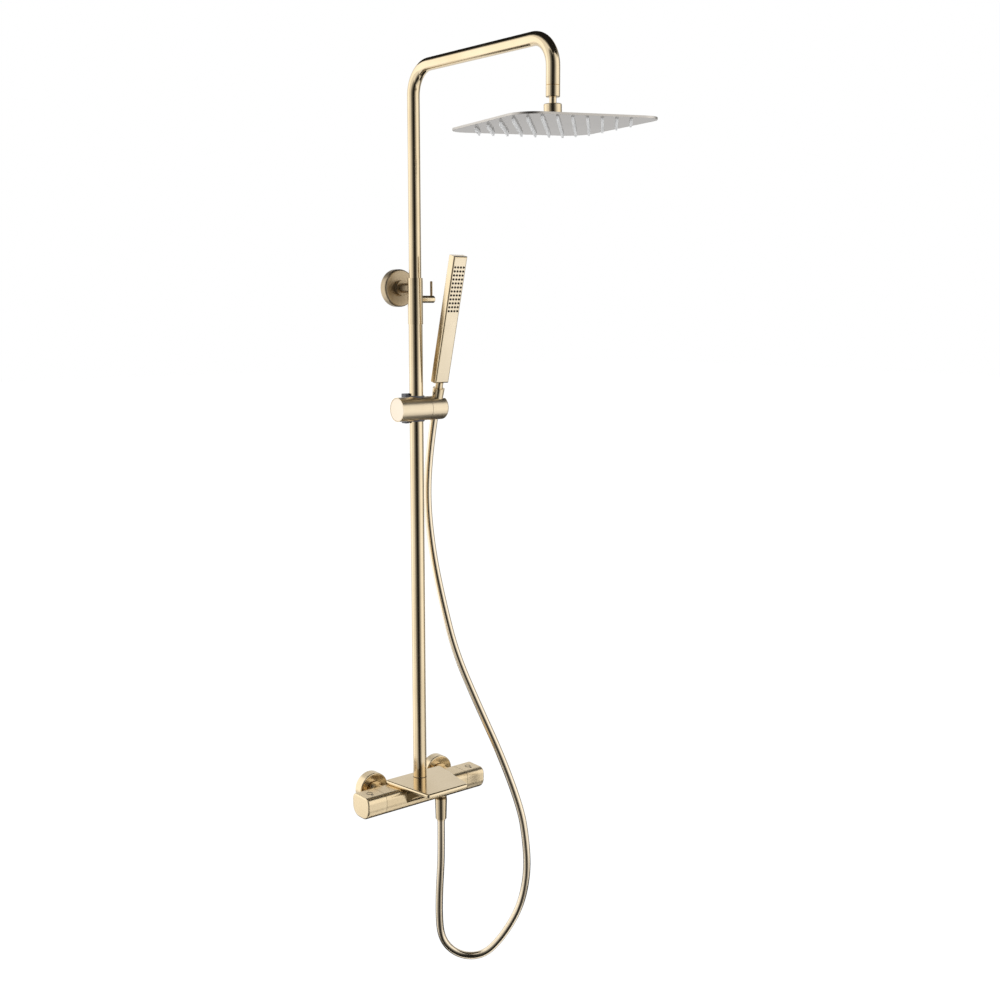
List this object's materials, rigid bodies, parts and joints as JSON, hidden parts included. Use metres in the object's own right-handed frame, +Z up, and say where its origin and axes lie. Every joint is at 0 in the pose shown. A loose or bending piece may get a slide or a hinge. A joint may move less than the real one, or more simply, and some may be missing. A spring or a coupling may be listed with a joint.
{
  "type": "rainfall shower column",
  "caption": "Wall-mounted shower column with thermostatic bar mixer, shelf, riser, telescopic arm, thin square rain head, sliding holder, stick handset and hanging hose.",
  "frame": {"origin": "on the wall plane, midway between the two inlets, at the height of the inlets' axes", "axes": "+Z up, +X to the right when facing the wall, +Y into the wall, so the front faces -Y"},
  "size_m": [0.3221, 0.5816, 1.6751],
  "materials": {
    "gold": "satin champagne gold plating",
    "face_gold": "flat satin gold plate",
    "bare_brass": "turned brass",
    "head_steel": "polished steel sheet",
    "steel": "plain steel",
    "white_silicone": "soft white silicone",
    "dark_rubber": "soft dark rubber",
    "white_plastic": "moulded nylon",
    "grey_plastic": "moulded dark grey plastic",
    "dark_plastic": "moulded dark plastic",
    "gold_hose": "smooth gold hose"
  },
  "bodies": {
    "column": {"wall_unions": "bare_brass", "rosettes": "gold", "union_nuts": "gold", "inlet_tails": "bare_brass", "inlet_filters": "dark_rubber", "valve_body": "gold", "shelf": "gold", "thermostat_cartridge": "white_plastic", "flow_cartridge": "white_plastic", "stop_rings": "white_plastic", "riser_base_nipple": "bare_brass", "riser_seals": "dark_rubber", "riser_pipe": "gold", "bracket_sleeve": "gold", "sleeve_guide_bush": "dark_plastic", "wall_flange": "gold", "bracket_base": "steel", "bracket_rod": "gold", "bracket_grub_screw": "steel", "lock_barrel": "gold", "hose_fittings": "gold", "hose_loop": "gold_hose"},
    "temperature_knob": {"temperature_knob": "gold", "thermostat_spindle": "bare_brass", "temperature_knob_screw": "steel"},
    "flow_knob": {"flow_knob": "gold", "flow_spindle": "bare_brass", "flow_knob_screw": "steel"},
    "lock": {"lock_knob": "gold", "lock_lever": "gold"},
    "arm_guide": {"arm_guide_ring": "white_plastic"},
    "rain_arm": {"shower_arm": "gold", "arm_tail_plug": "bare_brass", "arm_circlip": "steel", "arm_collar": "gold", "ball_stem": "bare_brass"},
    "ball_ring": {"ball_ring": "white_plastic"},
    "ball_seat": {"ball_seat": "white_plastic"},
    "rain_head": {"head_nut": "gold", "head_boss": "gold", "head_top_plate": "head_steel", "head_face_plate": "head_steel", "head_nozzles": "white_silicone"},
    "slider_bush": {"slider_bush": "grey_plastic", "hose_upper": "gold_hose"},
    "slider": {"slider_body": "gold", "slider_insert": "grey_plastic", "holder_washer": "dark_plastic", "button_spring": "steel", "hose_under_slider": "gold_hose"},
    "slider_button": {"slider_button": "gold"},
    "handset_holder": {"handset_holder": "gold", "hose_at_handset": "gold_hose"},
    "handset": {"handset_shell": "gold", "handset_face": "face_gold", "handset_nozzles": "dark_rubber", "handset_neck": "gold", "handset_cone_nut": "gold", "handset_washer": "dark_rubber", "hose_upper_ferrule": "gold"}
  },
  "joints": [
    {"name": "temperature_turn", "type": "hinge", "parent": "column", "child": "temperature_knob", "pos_m": [-0.113, -0.06, -0.008], "axis": [1, 0, 0], "range_deg": [-120, 120]},
    {"name": "flow_turn", "type": "hinge", "parent": "column", "child": "flow_knob", "pos_m": [0.113, -0.06, -0.008], "axis": [1, 0, 0], "range_deg": [-90, 90]},
    {"name": "lock_turn", "type": "hinge", "parent": "column", "child": "lock", "pos_m": [0.03, -0.06, 0.905], "axis": [1, 0, 0], "range_deg": [-90, 0]},
    {"name": "arm_height", "type": "slide", "parent": "column", "child": "arm_guide", "axis": [0, 0, 1], "range_m": [-0.2, 0.05]},
    {"name": "arm_swivel", "type": "hinge", "parent": "arm_guide", "child": "rain_arm", "pos_m": [0, -0.06, 0.9], "axis": [0, 0, 1], "range_deg": [-60, 60]},
    {"name": "head_swivel", "type": "hinge", "parent": "rain_arm", "child": "ball_ring", "pos_m": [0, -0.427, 1.1887], "axis": [0, 0, 1], "continuous": true},
    {"name": "head_tilt_x", "type": "hinge", "parent": "ball_ring", "child": "ball_seat", "pos_m": [0, -0.427, 1.1887], "axis": [1, 0, 0], "range_deg": [-12, 12]},
    {"name": "head_tilt_y", "type": "hinge", "parent": "ball_seat", "child": "rain_head", "pos_m": [0, -0.427, 1.1887], "axis": [0, 1, 0], "range_deg": [-10, 13.5]},
    {"name": "slider_slide", "type": "slide", "parent": "column", "child": "slider_bush", "axis": [0, 0, 1], "range_m": [-0.3, 0.03], "deforming": ["hose_loop", "hose_upper", "hose_under_slider", "hose_at_handset"]},
    {"name": "slider_swing", "type": "hinge", "parent": "slider_bush", "child": "slider", "pos_m": [0, -0.06, 0.711], "axis": [0, 0, 1], "range_deg": [-45, 45], "deforming": ["hose_loop", "hose_upper", "hose_under_slider", "hose_at_handset"]},
    {"name": "button_press", "type": "slide", "parent": "slider", "child": "slider_button", "axis": [1, 0, 0], "range_m": [0, 0.004], "stiffness_N_per_m": 900, "springref_m": -0.002, "deforming": ["button_spring"]},
    {"name": "holder_tilt", "type": "hinge", "parent": "slider", "child": "handset_holder", "pos_m": [0.036, -0.0665, 0.711], "axis": [1, 0, 0], "range_deg": [-8, 15], "deforming": ["hose_loop", "hose_upper", "hose_under_slider", "hose_at_handset"]},
    {"name": "handset_lift", "type": "slide", "parent": "handset_holder", "child": "handset", "axis": [0, -0.2538, 0.9673], "range_m": [0, 0.06], "deforming": ["hose_loop", "hose_upper", "hose_under_slider", "hose_at_handset"]}
  ]
}
